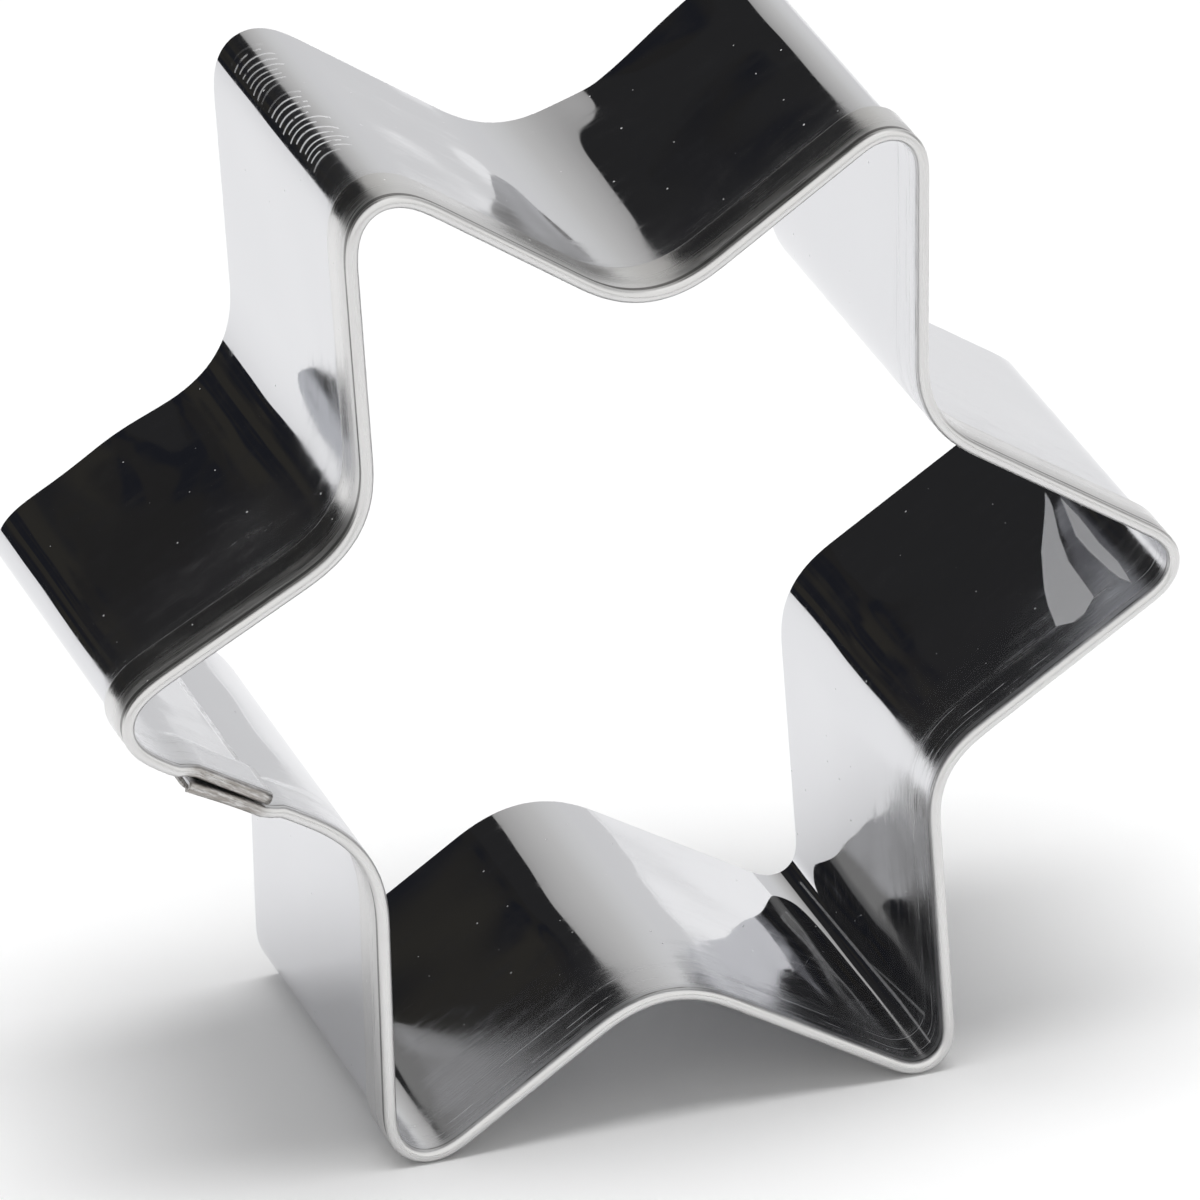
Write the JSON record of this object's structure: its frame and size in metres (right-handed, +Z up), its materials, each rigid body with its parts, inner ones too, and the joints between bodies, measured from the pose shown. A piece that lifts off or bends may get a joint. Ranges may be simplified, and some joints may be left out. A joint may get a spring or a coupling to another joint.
{
  "type": "cookie cutter",
  "caption": "Star-shaped cookie cutter bent from one bright sheet-metal strip, with a hemmed rim and a lapped, spot-welded seam.",
  "frame": {"origin": "centre of the footprint on the surface that the cutter's two lower points stand on", "axes": "+Z up, +Y from the hemmed rim to the cutting edge, through the star, and +X to the right when the rim is seen from the front"},
  "size_m": [0.0576, 0.022, 0.0559],
  "materials": {
    "bright_sheet": "bright rolled stainless sheet, mirror-like, with fine scratches and a pressed hem",
    "weld_metal": "matt grey cast nugget of a resistance spot weld"
  },
  "bodies": {
    "root": {"star_band": "bright_sheet", "seam_weld_rim_side": "weld_metal", "seam_weld_edge_side": "weld_metal"}
  },
  "joints": []
}
